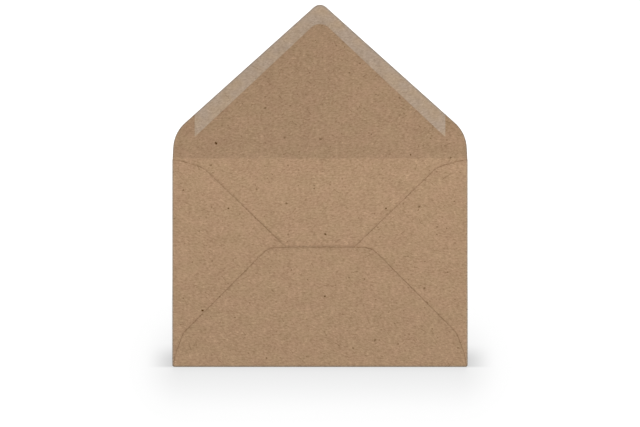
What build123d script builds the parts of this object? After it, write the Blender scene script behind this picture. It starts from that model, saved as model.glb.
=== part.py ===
from build123d import *
import os
from math import atan2, cos, pi, radians, sin, tan

# Kraft paper envelope: one die-cut sheet, folded and glued, with its closure flap open.
#
# Frame, in millimetres: X runs along the width, +Y runs up the back towards the closure flap,
# and +Z points up out of the back. The envelope lies on its address side. The origin is the
# centre of the address panel, on the surface that the envelope rests on.

os.makedirs("parts", exist_ok=True)

# ---------------------------------------------------------------------------
# Driving dimensions
# ---------------------------------------------------------------------------

# The closed envelope is an ISO C6, which takes an A6 card.
body_width = 162.0
body_height = 114.0

paper = 0.16  # thickness of 120 g/m2 kraft paper
pocket_gap = 0.30  # room between the address panel and the side flaps
seam_thickness = 0.05  # glue between the side flaps and the bottom flap
corner_relief = 0.30  # distance between the ends of two folds at a corner
crease_relief = 0.15  # distance from the end of a side fold to the closure flap's crease

# A corner of a flap is given as its inset from the side of the envelope, its distance from
# the fold that the flap hangs on, and the radius that rounds it.

# Closure flap: pointed, open, and lifted a little by the spring of its crease.
flap_base_inset = 0.10
flap_shoulder_inset = 0.96
flap_shoulder_height = 14.1
flap_shoulder_radius = 19.5
closure_overlap = 37.55  # past the bottom flap's top edge, from the crossing of the slanted edges
flap_tip_radius = 5.0
flap_lift = 6.0  # degrees
crease_radius = 4.0  # inner radius of the opened crease

# Bottom flap: folded up over the side flaps.
side_tip_cover = 5.25  # how far it reaches above the tips of the side flaps
bottom_flap_top_width = 56.4
bottom_flap_top_radius = 10.0
bottom_shoulder_inset = 6.0
bottom_shoulder_height = 18.8
bottom_shoulder_radius = 9.0
bottom_ankle_inset = 1.25
bottom_ankle_height = 6.5
bottom_ankle_radius = 30.0

# Side flaps: folded in over the address panel, under the bottom flap. Each is the same above
# and below the middle of the body, and ends in a blunt tip.
side_tip_gap = 26.0  # between the two tips
side_tip_height = 6.8
side_tip_radius = 3.0
side_shoulder_inset = 16.9
side_shoulder_drop = 4.45
side_shoulder_radius = 12.0
side_ankle_inset = 5.0
side_ankle_drop = 0.95
side_ankle_radius = 30.0

# Gum: a dry film on the inner face of the closure flap, along both slanted edges.
gum_thickness = 0.03
gum_width = 137.4  # over both ends, which are cut straight
gum_edge_margin = 0.30
gum_depth_at_tip = 9.6  # both depths are measured at right angles to the crease
gum_depth_at_ends = 12.5
gum_inner_radius = 7.0

# Seams: strips of glue along the slanted edges of the bottom flap.
seam_edge_margin = 2.0
seam_width = 10.0
seam_end_margin = 6.0
seam_flap_margin = 1.0  # kept back from the edges of the side flap

# ---------------------------------------------------------------------------
# Sizes that follow
# ---------------------------------------------------------------------------

half_width = body_width / 2
half_height = body_height / 2

side_fold_radius = paper + pocket_gap / 2  # outer radius, round an inner gap
bottom_fold_gap = pocket_gap + paper + seam_thickness
bottom_fold_radius = paper + bottom_fold_gap / 2
side_flap_top = 2 * side_fold_radius
stack_height = 2 * bottom_fold_radius

side_flap_reach = half_width - side_tip_gap / 2
bottom_flap_height = half_height + side_tip_height / 2 + side_tip_cover
flap_apex_height = body_height - bottom_flap_height + closure_overlap

panel_half_width = half_width - side_fold_radius
panel_bottom = bottom_fold_radius - half_height
crease_y = half_height
side_fold_bottom = panel_bottom + corner_relief
side_fold_top = crease_y - crease_relief
bottom_fold_half_length = panel_half_width - corner_relief

flap_half_width = half_width - flap_base_inset
flap_shoulder_x = half_width - flap_shoulder_inset
flap_slant = atan2(flap_apex_height - flap_shoulder_height, flap_shoulder_x)
crease_axis = Axis((0, crease_y, paper + crease_radius), (1, 0, 0))


def rounded_outline(corners):
    """Flat face in XY through corners given as (x, y, radius)."""
    points = [(x, y) for x, y, _ in corners]
    radii = [radius for _, _, radius in corners]
    return make_face(FilletPolyline(points, radius=radii, close=True))


def mirrored_outline(right_side, tip=()):
    """Flat face from the corners of its right side, their mirror images and a tip between."""
    left_side = [(-x, y, radius) for x, y, radius in reversed(right_side)]
    return rounded_outline([*right_side, *tip, *left_side])


def closure_flap_outline():
    """The closure flap, flat, above its crease."""
    base = (flap_half_width, crease_y, 0)
    shoulder = (flap_shoulder_x, crease_y + flap_shoulder_height, flap_shoulder_radius)
    tip = (0, crease_y + flap_apex_height, flap_tip_radius)
    return mirrored_outline([base, shoulder], [tip])


def bottom_flap_outline():
    """The bottom flap, seen from above, with the bottom fold that it hangs on."""
    base = (bottom_fold_half_length, -half_height, 0)
    ankle = (
        half_width - bottom_ankle_inset,
        bottom_ankle_height - half_height,
        bottom_ankle_radius,
    )
    shoulder = (
        half_width - bottom_shoulder_inset,
        bottom_shoulder_height - half_height,
        bottom_shoulder_radius,
    )
    top = (
        bottom_flap_top_width / 2,
        bottom_flap_height - half_height,
        bottom_flap_top_radius,
    )
    return mirrored_outline([base, ankle, shoulder, top])


def side_flap_outline():
    """The right side flap, seen from above, with the side fold that it hangs on."""
    ankle_x = half_width - side_ankle_inset
    ankle_y = half_height - side_ankle_drop
    shoulder_x = half_width - side_shoulder_inset
    shoulder_y = half_height - side_shoulder_drop
    tip_x = side_tip_gap / 2
    tip_y = side_tip_height / 2
    return rounded_outline(
        [
            (half_width, side_fold_bottom, 0),
            (half_width, side_fold_top, 0),
            (ankle_x, ankle_y, side_ankle_radius),
            (shoulder_x, shoulder_y, side_shoulder_radius),
            (tip_x, tip_y, side_tip_radius),
            (tip_x, -tip_y, side_tip_radius),
            (shoulder_x, -shoulder_y, side_shoulder_radius),
            (ankle_x, -ankle_y, side_ankle_radius),
        ]
    )


def fold_section(gap, reach):
    """Section of a fold: out of the panel at the origin, round the gap and back by reach."""
    outer = paper + gap / 2
    inner = gap / 2
    return make_face(
        [
            ThreePointArc((0, 0), (outer, outer), (0, 2 * outer)),
            Line((0, 2 * outer), (-reach, 2 * outer)),
            Line((-reach, 2 * outer), (-reach, 2 * outer - paper)),
            Line((-reach, 2 * outer - paper), (0, 2 * outer - paper)),
            ThreePointArc((0, 2 * outer - paper), (inner, outer), (0, paper)),
            Line((0, paper), (0, 0)),
        ]
    )


def folded_flap(fold_plane, gap, reach, outline):
    """A flap and its fold, cut to the outline that they show from above."""
    strip = extrude(fold_plane * fold_section(gap, reach), amount=half_width, both=True)
    cutter = extrude(Pos(0, 0, -paper) * outline, amount=stack_height + 2 * paper)
    return strip & cutter


def address_panel():
    """The flat front of the envelope."""
    return Pos(0, (panel_bottom + crease_y) / 2, paper / 2) * Box(
        2 * panel_half_width, crease_y - panel_bottom, paper
    )


def side_flaps():
    """Both side flaps with their folds, right and left."""
    plane = Plane(origin=(panel_half_width, 0, 0), x_dir=(1, 0, 0), z_dir=(0, -1, 0))
    right = folded_flap(plane, pocket_gap, side_flap_reach, side_flap_outline())
    return right, mirror(right, about=Plane.YZ)


def bottom_flap():
    """The bottom flap with its fold."""
    plane = Plane(origin=(0, panel_bottom, 0), x_dir=(0, -1, 0), z_dir=(-1, 0, 0))
    return folded_flap(plane, bottom_fold_gap, bottom_flap_height, bottom_flap_outline())


def closure_flap():
    """The open closure flap and the bend of its crease."""
    plate = extrude(closure_flap_outline(), amount=paper).rotate(crease_axis, flap_lift)
    edge = Plane(origin=(0, crease_y, paper / 2), x_dir=(1, 0, 0), z_dir=(0, 1, 0))
    bend = revolve(
        edge * Rectangle(2 * flap_half_width, paper),
        axis=crease_axis,
        revolution_arc=flap_lift,
    )
    return bend, plate


def folded_sheet():
    """The whole sheet of paper as one solid."""
    sheet = address_panel()
    for flap in [*side_flaps(), bottom_flap(), *closure_flap()]:
        sheet = sheet + flap
    return sheet


def flap_gum():
    """The gum, which follows the closure flap's slanted edges and its tip."""
    apex_y = crease_y + flap_apex_height
    end_x = gum_width / 2
    end_y = apex_y - end_x * tan(flap_slant)
    inner_edge = [
        (end_x, end_y - gum_depth_at_ends, 0),
        (0, apex_y - gum_depth_at_tip, gum_inner_radius),
        (-end_x, end_y - gum_depth_at_ends, 0),
    ]
    beyond_flap = [(-end_x, apex_y, 0), (end_x, apex_y, 0)]
    band = rounded_outline(inner_edge + beyond_flap)
    film = band & offset(closure_flap_outline(), amount=-gum_edge_margin)
    return extrude(Pos(0, 0, paper) * film, amount=gum_thickness).rotate(crease_axis, flap_lift)


def seam_glue():
    """The two strips of glue that hold the bottom flap to the side flaps, right and left."""
    shoulder = Vector(half_width - bottom_shoulder_inset, bottom_shoulder_height - half_height)
    top = Vector(bottom_flap_top_width / 2, bottom_flap_height - half_height)
    along = (top - shoulder).normalized()
    inward = Vector(-along.Y, along.X)
    start = shoulder + along * seam_end_margin + inward * seam_edge_margin
    end = top - along * seam_end_margin + inward * seam_edge_margin
    far = inward * seam_width
    strip = make_face(Polyline(start, end, end + far, start + far, close=True))
    glued = strip & offset(side_flap_outline(), amount=-seam_flap_margin)
    right = extrude(Pos(0, 0, side_flap_top) * glued, amount=seam_thickness)
    return right, mirror(right, about=Plane.YZ)


seam_right, seam_left = seam_glue()
nodes = {
    "folded_sheet": folded_sheet(),
    "flap_gum": flap_gum(),
    "seam_glue_right": seam_right,
    "seam_glue_left": seam_left,
}
for name, solid in nodes.items():
    export_step(solid, f"parts/{name}.step")

# ---------------------------------------------------------------------------
# Size of the flat blank, in which each half-round fold takes up its length along mid-paper
# ---------------------------------------------------------------------------

side_fold_length = pi * (side_fold_radius - paper / 2)
bottom_fold_length = pi * (bottom_fold_radius - paper / 2)
flap_tip_height = flap_apex_height - flap_tip_radius * (1 / cos(flap_slant) - 1)

blank_width = 2 * (panel_half_width + side_fold_length + side_flap_reach - side_fold_radius)
blank_below_crease = crease_y - panel_bottom + bottom_fold_length
blank_below_crease += bottom_flap_height - bottom_fold_radius
tip_rise = flap_tip_height * sin(radians(flap_lift))

print(f"blank {blank_width:.1f} x {blank_below_crease + flap_tip_height:.1f} mm")
print(f"sheet area {nodes['folded_sheet'].volume / paper:.0f} mm2")
print(f"closed stack {stack_height:.2f} mm, flap tip {tip_rise:.1f} mm up")
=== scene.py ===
"""Looks of a kraft paper envelope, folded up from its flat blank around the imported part.

Lengths are in metres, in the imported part's frame: +X across the width, +Y up the back towards
the closure flap, +Z out of the back. The blank is drawn flat with its inner face up, and every
flap turns over by one folding rule, which Geometry Nodes carry out. Only the paper's pattern is
laid out in millimetres on the blank, and sizes without MM in a finish are millimetres too.
"""

from __future__ import annotations

import logging
import math
from dataclasses import asdict, dataclass, field
from enum import Enum, IntEnum
from types import SimpleNamespace
from typing import Iterable, Union

import bpy
import numpy as np
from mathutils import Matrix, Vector
from mathutils.geometry import delaunay_2d_cdt


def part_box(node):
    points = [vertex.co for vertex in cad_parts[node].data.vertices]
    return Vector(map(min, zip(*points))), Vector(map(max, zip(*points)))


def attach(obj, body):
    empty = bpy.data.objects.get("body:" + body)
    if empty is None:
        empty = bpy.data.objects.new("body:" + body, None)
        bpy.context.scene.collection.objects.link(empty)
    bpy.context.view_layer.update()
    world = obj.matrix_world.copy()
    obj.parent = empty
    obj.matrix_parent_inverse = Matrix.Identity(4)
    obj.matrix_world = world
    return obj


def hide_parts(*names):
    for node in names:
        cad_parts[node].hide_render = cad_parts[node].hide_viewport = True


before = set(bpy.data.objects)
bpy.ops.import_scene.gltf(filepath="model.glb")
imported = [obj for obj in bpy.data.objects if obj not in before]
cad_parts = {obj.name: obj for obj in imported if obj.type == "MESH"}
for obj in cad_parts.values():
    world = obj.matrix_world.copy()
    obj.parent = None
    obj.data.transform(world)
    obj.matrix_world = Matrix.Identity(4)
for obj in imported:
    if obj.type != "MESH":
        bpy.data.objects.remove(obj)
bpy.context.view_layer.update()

MM = 0.001
BODY = "root"
SLACK = 0.001 * MM  # rounding, where a point lies on the line between two parts
SLIVER = 0.001 * MM**2  # a triangle smaller than this is only rounding along a straight run
SHORTEST_RUN = 1e-9  # keeps a run of no length from dividing by zero
BATCH = 1000  # points that are measured at a time
NOISE_REACH = 0.5  # of soft noise, to each side of 0
PATTERN_GAP = 40.0  # how far apart in the pattern the surfaces of the sheet lie
DEPTH = (0.92, 1.02, 1.16)  # how much of a change in shade red, green and blue each take
WHITE = (1.0, 1.0, 1.0, 1.0)

log = logging.getLogger("envelope")


class Surface(IntEnum):
    """Surfaces of a sheet, each of which shows its own patch of the paper's pattern."""

    INNER = 0
    OUTER = 1
    CUT_EDGE = 2


class Part(IntEnum):
    """Parts of the blank, by the fold that they turn on."""

    PANEL = 0
    SIDE_FLAP = 1
    BOTTOM_FLAP = 2
    CLOSURE_FLAP = 3


class Attribute(str, Enum):
    """Attributes that the flat blank carries into its folded form."""

    PART = "part"
    EDGE_DISTANCE = "edge_distance"
    BLANK = "blank"


class Hand(IntEnum):
    """Sides of the envelope, as its back is seen."""

    RIGHT = 1
    LEFT = -1


def put_in_scene(name: str, data: bpy.types.ID) -> bpy.types.Object:
    """Make an object and link it to the scene.

    Args:
        name: The object's name.
        data: What it shows.

    Returns:
        The object.
    """
    made = bpy.data.objects.new(name, data)
    bpy.context.scene.collection.objects.link(made)
    return made


# --- Outlines ---------------------------------------------------------------


@dataclass(frozen=True)
class Corner:
    """A corner of an outline, and the radius that rounds it."""

    x: float
    y: float
    radius: float = 0.0

    @property
    def place(self) -> np.ndarray:
        """Where it is."""
        return np.array((self.x, self.y))

    def mirrored(self, across: int = -1, up: int = 1) -> Corner:
        """The same corner on the other side of a middle line."""
        return Corner(across * self.x, up * self.y, self.radius)


@dataclass(frozen=True)
class Outline:
    """A closed outline of straight runs between rounded corners."""

    corners: tuple[Corner, ...]

    @classmethod
    def mirror_image(cls, right: list[Corner], middle: Iterable[Corner] = ()) -> Outline:
        """Join the right side's corners, any on the middle line, and the left side's."""
        return cls((*right, *middle, *(corner.mirrored() for corner in reversed(right))))

    def points(self, step: float) -> np.ndarray:
        """Follow the outline counter-clockwise.

        Args:
            step: Greatest distance between two points.

        Returns:
            An array of points, one row each.
        """
        turns = []
        for index, corner in enumerate(self.corners):
            after = self.corners[(index + 1) % len(self.corners)]
            turns.extend(self._rounded(self.corners[index - 1], corner, after, step))
        ring = np.array(turns)
        following = np.roll(ring, -1, axis=0)
        whole = np.concatenate([divide(a, b, step)[:-1] for a, b in zip(ring, following)])
        x, y = whole.T
        area = np.dot(x, np.roll(y, -1)) - np.dot(y, np.roll(x, -1))
        return whole if area > 0 else whole[::-1]

    @staticmethod
    def _rounded(before: Corner, corner: Corner, after: Corner, step: float) -> list[np.ndarray]:
        """Round one corner.

        Args:
            before: The corner before it.
            corner: The corner itself.
            after: The corner after it.
            step: Greatest distance between two points of the arc.

        Returns:
            One point at a sharp corner, or the points of an arc.
        """
        if corner.radius == 0:
            return [corner.place]
        back, ahead = before.place - corner.place, after.place - corner.place
        back /= np.linalg.norm(back)
        ahead /= np.linalg.norm(ahead)
        half_angle = math.acos(float(np.dot(back, ahead))) / 2
        bisector = (back + ahead) / np.linalg.norm(back + ahead)
        centre = corner.place + bisector * corner.radius / math.sin(half_angle)
        spoke = corner.place + back * corner.radius / math.tan(half_angle) - centre
        sweep = math.pi - 2 * half_angle
        left_turn = back[1] * ahead[0] - back[0] * ahead[1] > 0
        count = max(3, math.ceil(sweep * corner.radius / step))
        arc = []
        for angle in np.linspace(0, sweep if left_turn else -sweep, count + 1):
            c, s = math.cos(angle), math.sin(angle)
            arc.append(centre + (c * spoke[0] - s * spoke[1], s * spoke[0] + c * spoke[1]))
        return arc


def divide(start: np.ndarray, end: np.ndarray, step: float) -> np.ndarray:
    """Points along a straight run, with both ends, no further apart than the step."""
    count = max(1, math.ceil(float(np.linalg.norm(end - start)) / step))
    return start + (end - start) * np.linspace(0, 1, count + 1)[:, None]


def in_batches(points: np.ndarray) -> list[np.ndarray]:
    """Share the points out, so that none of the tables made from them grows too large."""
    return np.array_split(points, max(1, len(points) // BATCH))


def distance_to_runs(points: np.ndarray, starts: np.ndarray, ends: np.ndarray) -> np.ndarray:
    """Measure from each point to the nearest of some straight runs.

    Args:
        points: Points, one row each.
        starts: First ends of the runs.
        ends: Second ends of the runs.

    Returns:
        One distance for each point.
    """
    run = ends - starts
    squared = np.maximum((run * run).sum(-1), SHORTEST_RUN**2)
    found = []
    for some in in_batches(points):
        gap = some[:, None] - starts
        share = np.clip((gap * run).sum(-1) / squared, 0, 1)
        found.append(np.linalg.norm(gap - share[..., None] * run, axis=-1).min(1))
    return np.concatenate(found)


def inside(points: np.ndarray, ring: np.ndarray) -> np.ndarray:
    """Tell which points lie inside an outline.

    Args:
        points: Points, one row each.
        ring: Points of the outline in order.

    Returns:
        True for each point inside.
    """
    low, high = ring, np.roll(ring, -1, axis=0)
    rise = np.where(high[:, 1] == low[:, 1], 1.0, high[:, 1] - low[:, 1])
    found = []
    for some in in_batches(points):
        x, y = some[:, :1], some[:, 1:]
        spans = (low[:, 1] > y) != (high[:, 1] > y)
        crossing = (high[:, 0] - low[:, 0]) * (y - low[:, 1]) / rise + low[:, 0]
        found.append((spans & (x < crossing)).sum(1) % 2 == 1)
    return np.concatenate(found)


def triangle_areas(corners: np.ndarray) -> np.ndarray:
    """Measure flat triangles.

    Args:
        corners: The three corners of each triangle.

    Returns:
        One area for each triangle.
    """
    first = corners[:, 1] - corners[:, 0]
    second = corners[:, 2] - corners[:, 0]
    return np.abs(first[:, 0] * second[:, 1] - first[:, 1] * second[:, 0]) / 2


# --- The blank --------------------------------------------------------------


Run = tuple[tuple[float, float], tuple[float, float]]


@dataclass(frozen=True)
class ClosureFlap:
    """Cut of the pointed closure flap, by corners measured from its crease."""

    base_inset: float = 0.10 * MM
    shoulder_inset: float = 0.96 * MM
    shoulder_height: float = 14.1 * MM
    shoulder_radius: float = 19.5 * MM
    apex_height: float = 85.9 * MM
    tip_radius: float = 5.0 * MM


@dataclass(frozen=True)
class BottomFlap:
    """Cut of the bottom flap, by corners measured from the bottom edge."""

    top_width: float = 56.4 * MM
    top_height: float = 65.65 * MM
    top_radius: float = 10.0 * MM
    shoulder_inset: float = 6.0 * MM
    shoulder_height: float = 18.8 * MM
    shoulder_radius: float = 9.0 * MM
    ankle_inset: float = 1.25 * MM
    ankle_height: float = 6.5 * MM
    ankle_radius: float = 30.0 * MM


@dataclass(frozen=True)
class SideFlap:
    """Cut of a side flap, the same above and below the middle of the body."""

    tip_gap: float = 26.0 * MM
    tip_height: float = 6.8 * MM
    tip_radius: float = 3.0 * MM
    shoulder_inset: float = 16.9 * MM
    shoulder_drop: float = 4.45 * MM
    shoulder_radius: float = 12.0 * MM
    ankle_inset: float = 5.0 * MM
    ankle_drop: float = 0.95 * MM
    ankle_radius: float = 30.0 * MM


@dataclass(frozen=True)
class Blank:
    """The die-cut sheet before it is folded, in the frame of its address panel."""

    half_width: float
    half_height: float
    paper: float = 0.16 * MM
    pocket_gap: float = 0.30 * MM
    seam_thickness: float = 0.05 * MM
    corner_relief: float = 0.30 * MM
    crease_relief: float = 0.15 * MM
    crease_inner_radius: float = 4.0 * MM
    fold_angle: float = math.pi
    flap_lift: float = math.radians(6.0)
    closure: ClosureFlap = ClosureFlap()
    bottom: BottomFlap = BottomFlap()
    side: SideFlap = SideFlap()
    bend_steps: int = 10
    crease_steps: int = 2
    overrun: float = 0.2 * MM

    @classmethod
    def from_frame(cls, node: str) -> Blank:
        """Take the closed body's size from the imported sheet."""
        low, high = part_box(node)
        return cls(half_width=(high.x - low.x) / 2, half_height=-low.y)

    @property
    def half_paper(self) -> float:
        """Half the thickness of the paper."""
        return self.paper / 2

    @property
    def flap_length(self) -> float:
        """How far the closure flap reaches from its crease."""
        return self.closure.apex_height

    @property
    def side_bend(self) -> float:
        """Radius of a side fold along the middle of the paper."""
        return (self.pocket_gap + self.paper) / 2

    @property
    def bottom_bend(self) -> float:
        """Radius of the bottom fold along the middle of the paper."""
        return self.side_bend + (self.paper + self.seam_thickness) / 2

    @property
    def crease_bend(self) -> float:
        """Radius of the opened crease along the middle of the paper."""
        return self.crease_inner_radius + self.half_paper

    @property
    def panel_half_width(self) -> float:
        """Where the side folds start."""
        return self.half_width - self.side_bend - self.half_paper

    @property
    def panel_bottom(self) -> float:
        """Where the bottom fold starts."""
        return self.bottom_bend + self.half_paper - self.half_height

    @property
    def side_length(self) -> float:
        """Paper that a side fold takes up."""
        return self.fold_angle * self.side_bend

    @property
    def bottom_length(self) -> float:
        """Paper that the bottom fold takes up."""
        return self.fold_angle * self.bottom_bend

    @property
    def crease_length(self) -> float:
        """Paper that the opened crease takes up."""
        return self.flap_lift * self.crease_bend

    @property
    def slant(self) -> float:
        """Angle between the crease and the closure flap's slanted edges."""
        rise = self.closure.apex_height - self.closure.shoulder_height
        return math.atan2(rise, self.half_width - self.closure.shoulder_inset)

    def flat_side(self, x: float) -> float:
        """Unfold the distance of a point on a side flap from the middle line."""
        return 2 * self.panel_half_width + self.side_length - x

    def flat_bottom(self, y: float) -> float:
        """Unfold the height of a point on the bottom flap."""
        return 2 * self.panel_bottom - self.bottom_length - y

    def flat_closure(self, height: float) -> float:
        """Unfold the distance of a point on the closure flap from its crease."""
        return self.half_height + self.crease_length + height

    def outline(self) -> Outline:
        """The whole sheet as it is cut."""
        right = [*self._bottom_corners(), *self._side_corners(), *self._closure_corners()]
        return Outline.mirror_image(right[:-1], right[-1:])

    def _bottom_corners(self) -> list[Corner]:
        """Cut the right side of the bottom flap.

        Returns:
            Its corners, from the top edge to the panel's corner.
        """
        flap = self.bottom
        base_x = self.panel_half_width - self.corner_relief
        cut = [
            (flap.top_width / 2, flap.top_height, flap.top_radius),
            (self.half_width - flap.shoulder_inset, flap.shoulder_height, flap.shoulder_radius),
            (self.half_width - flap.ankle_inset, flap.ankle_height, flap.ankle_radius),
        ]
        return [
            *(Corner(x, self.flat_bottom(up - self.half_height), radius) for x, up, radius in cut),
            Corner(base_x, self.panel_bottom - self.bottom_length / 2),
            Corner(base_x, self.panel_bottom),
            Corner(self.panel_half_width, self.panel_bottom),
        ]

    def _side_corners(self) -> list[Corner]:
        """Cut the right side flap.

        Returns:
            Its corners, from the bottom of its fold to the top.
        """
        flap, reach = self.side, self.half_height
        low, high = self.panel_bottom + self.corner_relief, reach - self.crease_relief
        bend_x = self.panel_half_width + self.side_length / 2
        shoulder_x = self.half_width - flap.shoulder_inset
        cut = [
            (flap.tip_gap / 2, flap.tip_height / 2, flap.tip_radius),
            (shoulder_x, reach - flap.shoulder_drop, flap.shoulder_radius),
            (self.half_width - flap.ankle_inset, reach - flap.ankle_drop, flap.ankle_radius),
        ]
        upper = [Corner(self.flat_side(x), y, radius) for x, y, radius in cut]
        lower = [corner.mirrored(across=1, up=-1) for corner in reversed(upper)]
        first = [Corner(self.panel_half_width, low), Corner(bend_x, low)]
        return [*first, *lower, *upper, Corner(bend_x, high), Corner(self.panel_half_width, high)]

    def _closure_corners(self) -> list[Corner]:
        """Cut the right side of the closure flap.

        Returns:
            Its corners, from the crease up to its tip.
        """
        flap = self.closure
        shoulder = (self.half_width - flap.shoulder_inset, self.flat_closure(flap.shoulder_height))
        return [
            Corner(self.panel_half_width, self.half_height),
            Corner(self.half_width - flap.base_inset, self.half_height),
            Corner(*shoulder, flap.shoulder_radius),
            Corner(0, self.flat_closure(flap.apex_height), flap.tip_radius),
        ]

    def score_lines(self) -> list[Run]:
        """Draw lines along every fold, close enough together for it to bend round smoothly.

        Returns:
            The two ends of each line.
        """
        low, high = self.panel_bottom, self.half_height
        lines: list[Run] = []
        for step in range(self.bend_steps + 1):
            share = step / self.bend_steps
            x = self.panel_half_width + share * self.side_length
            reach = self.overrun * share
            bottom, top = low + self.corner_relief - reach, high - self.crease_relief + reach
            lines += [((side, bottom), (side, top)) for side in (x, -x)]
            y = low - share * self.bottom_length
            across = self.panel_half_width - self.corner_relief + reach
            lines.append(((-across, y), (across, y)))
        for step in range(self.crease_steps + 1):
            y = high + step / self.crease_steps * self.crease_length
            across = self.half_width - self.closure.base_inset if step else self.panel_half_width
            lines.append(((-across, y), (across, y)))
        return lines

    def part_at(self, x: np.ndarray, y: np.ndarray) -> np.ndarray:
        """Say which part of the blank each point belongs to.

        Args:
            x: Distances from the middle line, on the flat blank.
            y: Heights on the flat blank.

        Returns:
            The number of a Part for each point.
        """
        part = np.full(len(x), Part.PANEL, np.int32)
        part[np.abs(x) > self.panel_half_width + SLACK] = Part.SIDE_FLAP
        part[y < self.panel_bottom - SLACK] = Part.BOTTOM_FLAP
        part[y > self.half_height - SLACK] = Part.CLOSURE_FLAP
        return part


# --- Flat pieces ------------------------------------------------------------


@dataclass
class FlatPiece:
    """A flat piece of even thickness, cut to an outline on the blank and ready to fold."""

    name: str
    blank: Blank
    outline: Outline
    underside: float
    top: float
    spacing: float = 2.0 * MM
    score_lines: list[Run] = field(default_factory=list)
    edge_step: float = 1.2 * MM
    clearance: float = 0.55  # of the spacing, between a line and the grid beside it
    rounding: float = 1e-5  # in millimetres, within which points are one
    map_margin: float = 0.01
    edge_band: float = 0.05  # of the map, along its top, which the cut edge takes
    edge_rows: int = 8
    row_length: float = 0.95
    row_margin: float = 0.15

    def triangles(self) -> tuple[np.ndarray, np.ndarray]:
        """Fill the outline with even triangles that keep to the score lines.

        Returns:
            The points, and the triangles as point numbers.
        """
        ring = self.outline.points(self.edge_step)
        count = len(ring)
        edges = [(index, (index + 1) % count) for index in range(count)]
        points, starts, ends = [ring], [ring], [np.roll(ring, -1, axis=0)]
        for first, second in self.score_lines:
            line = divide(np.array(first), np.array(second), self.spacing)
            edges += [(count + index, count + index + 1) for index in range(len(line) - 1)]
            starts.append(line[:-1])
            ends.append(line[1:])
            points.append(line)
            count += len(line)
        grid = self._grid(ring)
        clear = distance_to_runs(grid, np.concatenate(starts), np.concatenate(ends))
        points.append(grid[clear > self.clearance * self.spacing])
        flat = [Vector(point) for point in np.concatenate(points) / MM]
        made = delaunay_2d_cdt(flat, edges, [], 1, self.rounding, False)
        places = np.array([tuple(point) for point in made[0]]) * MM
        triangles = np.array(made[2])
        corners = places[triangles]
        kept = triangles[inside(corners.mean(1), ring) & (triangle_areas(corners) > SLIVER)]
        used, renumbered = np.unique(kept, return_inverse=True)
        return places[used], renumbered.reshape(-1, 3)

    def _grid(self, ring: np.ndarray) -> np.ndarray:
        """Spread points in staggered rows.

        Args:
            ring: Points of the outline in order.

        Returns:
            The points that lie inside it.
        """
        low, high = ring.min(0), ring.max(0)
        rows = np.arange(low[1], high[1], self.spacing * math.sqrt(3) / 2)
        columns = np.arange(low[0], high[0] + self.spacing, self.spacing)
        x, y = np.meshgrid(columns, rows)
        x[1::2] -= self.spacing / 2
        grid = np.column_stack((x.ravel(), y.ravel()))
        return grid[inside(grid, ring)]

    def build(self) -> bpy.types.Object:
        """Make the closed mesh: both faces and the cut edge between them.

        Returns:
            The flat piece, linked to the scene.
        """
        points, triangles = self.triangles()
        count = len(points)
        rim = self._rim(triangles)
        heights = np.repeat((self.underside, self.top), count)
        vertices = np.column_stack((np.tile(points, (2, 1)), heights))
        quads = [(a, b, b + count, a + count) for a, b in rim]
        faces = (triangles + count).tolist() + triangles[:, ::-1].tolist() + quads
        mesh = bpy.data.meshes.new(self.name)
        mesh.from_pydata(vertices.tolist(), [], faces, shade_flat=False)
        crisp = {frozenset(run) for a, b in rim for run in ((a, b), (a + count, b + count))}
        marks = [frozenset(edge.vertices) in crisp for edge in mesh.edges]
        self._mark(mesh, "sharp_edge", "BOOLEAN", "EDGE", marks)
        self._lay_pattern(mesh, vertices, len(triangles), rim)
        part = np.tile(self.blank.part_at(*points.T), 2)
        self._mark(mesh, Attribute.PART.value, "INT", "POINT", part)
        ring = self.blank.outline().points(self.edge_step)
        distance = np.tile(distance_to_runs(points, ring, np.roll(ring, -1, axis=0)), 2)
        self._mark(mesh, Attribute.EDGE_DISTANCE.value, "FLOAT", "POINT", distance)
        return put_in_scene(self.name, mesh)

    @staticmethod
    def _mark(mesh: bpy.types.Mesh, name: str, kind: str, domain: str, values: Iterable) -> None:
        """Write an attribute, one value for each vertex or edge."""
        mesh.attributes.new(name, kind, domain).data.foreach_set("value", values)

    @staticmethod
    def _rim(triangles: np.ndarray) -> list[tuple[int, int]]:
        """Follow the outline of some triangles.

        Args:
            triangles: The triangles as point numbers.

        Returns:
            The runs of the outline in order, each with the piece on its left.
        """
        sides = [(t[i], t[(i + 1) % 3]) for t in triangles.tolist() for i in range(3)]
        known = set(sides)
        following = {a: b for a, b in sides if (b, a) not in known}
        start = min(following)
        rim = [(start, following[start])]
        while rim[-1][1] != start:
            rim.append((rim[-1][1], following[rim[-1][1]]))
        return rim

    def _lay_pattern(
        self, mesh: bpy.types.Mesh, vertices: np.ndarray, face_count: int, rim: list[tuple[int, int]]
    ) -> None:
        """Give every corner its place on the blank, in millimetres, and its place on a map.

        Args:
            mesh: The flat piece's mesh.
            vertices: Its vertices.
            face_count: How many triangles each of its two faces has.
            rim: The runs of the outline in order.
        """
        corners = np.empty(len(mesh.loops), int)
        mesh.loops.foreach_get("vertex_index", corners)
        lengths = (3 * face_count, 3 * face_count, 4 * len(rim))
        surface = np.repeat([Surface.INNER, Surface.OUTER, Surface.CUT_EDGE], lengths)
        place = vertices[corners]
        blank = np.column_stack((place[:, :2] / MM, surface * PATTERN_GAP))
        laid = mesh.attributes.new(Attribute.BLANK.value, "FLOAT_VECTOR", "CORNER")
        laid.data.foreach_set("vector", blank.astype(np.float32).ravel())

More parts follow.
